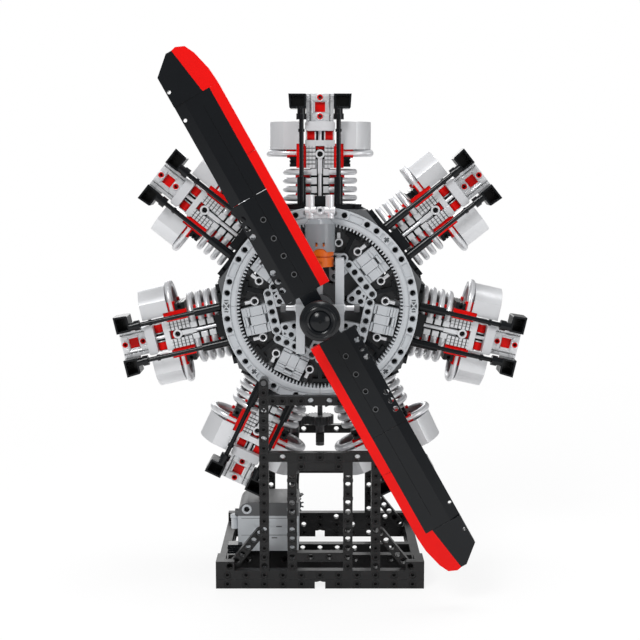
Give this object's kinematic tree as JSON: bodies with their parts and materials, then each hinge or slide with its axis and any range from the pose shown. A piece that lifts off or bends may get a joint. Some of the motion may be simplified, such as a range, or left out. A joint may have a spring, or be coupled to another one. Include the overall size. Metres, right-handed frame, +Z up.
{
  "type": "radial engine model",
  "caption": "Display model of a radial engine: cylinders round a ring gear, two-blade propeller, cut-away piston and motor on an open beam stand.",
  "frame": {"origin": "centre of the base, on the ground", "axes": "+Z up, -Y to the front where the propeller is, +X to the right seen from the front; the engine shaft runs along Y"},
  "size_m": [0.364, 0.2493, 0.4563],
  "materials": {
    "stand_dark_grey": "satin",
    "light_grey": "satin",
    "dark_grey": "satin",
    "flat_silver": "satin",
    "pale_grey": "satin",
    "black": "gloss",
    "black_rubber": "satin",
    "red": "gloss",
    "orange": "gloss",
    "clear_grey": "gloss"
  },
  "bodies": {
    "engine_and_stand": {"base_front_beam": "stand_dark_grey", "base_rear_beam": "stand_dark_grey", "base_side_rails": "stand_dark_grey", "corner_blocks": "stand_dark_grey", "front_uprights": "stand_dark_grey", "rear_uprights": "stand_dark_grey", "cross_beams": "stand_dark_grey", "inner_posts": "stand_dark_grey", "corner_braces": "stand_dark_grey", "rear_depth_beams": "stand_dark_grey", "bearing_beams": "stand_dark_grey", "motor_cradle": "stand_dark_grey", "motor_housing": "light_grey", "motor_band": "dark_grey", "ring_pins": "dark_grey", "front_plate": "dark_grey", "rear_plate": "stand_dark_grey", "ring_quarter_1": "light_grey", "ring_quarter_2": "light_grey", "ring_quarter_3": "light_grey", "ring_quarter_4": "light_grey", "valve_blocks": "light_grey", "tappets": "flat_silver", "frame_beams": "light_grey", "corner_plates": "light_grey", "levers": "black", "front_cage": "light_grey", "clear_sleeve": "clear_grey", "silver_fittings": "flat_silver", "foot_plates": "black", "barrel_cores": "black", "fins_left": "flat_silver", "fins_right": "flat_silver", "column_blocks": "flat_silver", "pushrod_tubes": "black", "red_collars": "red", "black_clips": "black", "head_loops_left": "flat_silver", "head_loops_right": "flat_silver", "head_cups_left": "flat_silver", "head_cups_right": "flat_silver", "red_barrels": "red", "white_bars": "pale_grey", "rocker_heads": "flat_silver", "rocker_pins": "red", "rocker_boxes": "black"},
    "crank": {"crankshaft": "dark_grey", "prop_hub": "black", "blade_panels": "black", "blade_strips": "red", "blade_tips_black": "black", "blade_tips_red": "red", "spinner_tyre": "black_rubber", "spinner_dome": "black"},
    "piston": {"piston": "orange"},
    "rod": {"connecting_rod": "dark_grey"},
    "centre_shaft": {"centre_shaft": "dark_grey"},
    "lay_shaft": {"lay_shaft": "dark_grey"},
    "motor_shaft": {"motor_shaft": "dark_grey"}
  },
  "joints": [
    {"name": "crank_spin", "type": "hinge", "parent": "engine_and_stand", "child": "crank", "pos_m": [0, -0.076, 0.244], "axis": [0, 1, 0], "continuous": true},
    {"name": "piston_slide", "type": "slide", "parent": "engine_and_stand", "child": "piston", "axis": [0, 0, 1], "range_m": [0, 0.016]},
    {"name": "rod_swing", "type": "hinge", "parent": "piston", "child": "rod", "pos_m": [0, -0.076, 0.283], "axis": [0, 1, 0], "range_deg": [-9.8, 9.8]},
    {"name": "centre_shaft_spin", "type": "hinge", "parent": "engine_and_stand", "child": "centre_shaft", "pos_m": [0, 0.038, 0.15], "axis": [0, 0, 1], "continuous": true},
    {"name": "lay_shaft_spin", "type": "hinge", "parent": "engine_and_stand", "child": "lay_shaft", "pos_m": [-0.024, 0.038, 0.09], "axis": [0, 0, 1], "continuous": true},
    {"name": "motor_shaft_spin", "type": "hinge", "parent": "engine_and_stand", "child": "motor_shaft", "pos_m": [-0.024, 0.02, 0.044], "axis": [0, 1, 0], "continuous": true}
  ],
  "couplings": [
    {"joint": "centre_shaft_spin", "follows": "crank_spin", "ratio": -1},
    {"joint": "lay_shaft_spin", "follows": "crank_spin", "ratio": 1},
    {"joint": "motor_shaft_spin", "follows": "crank_spin", "ratio": 1}
  ]
}
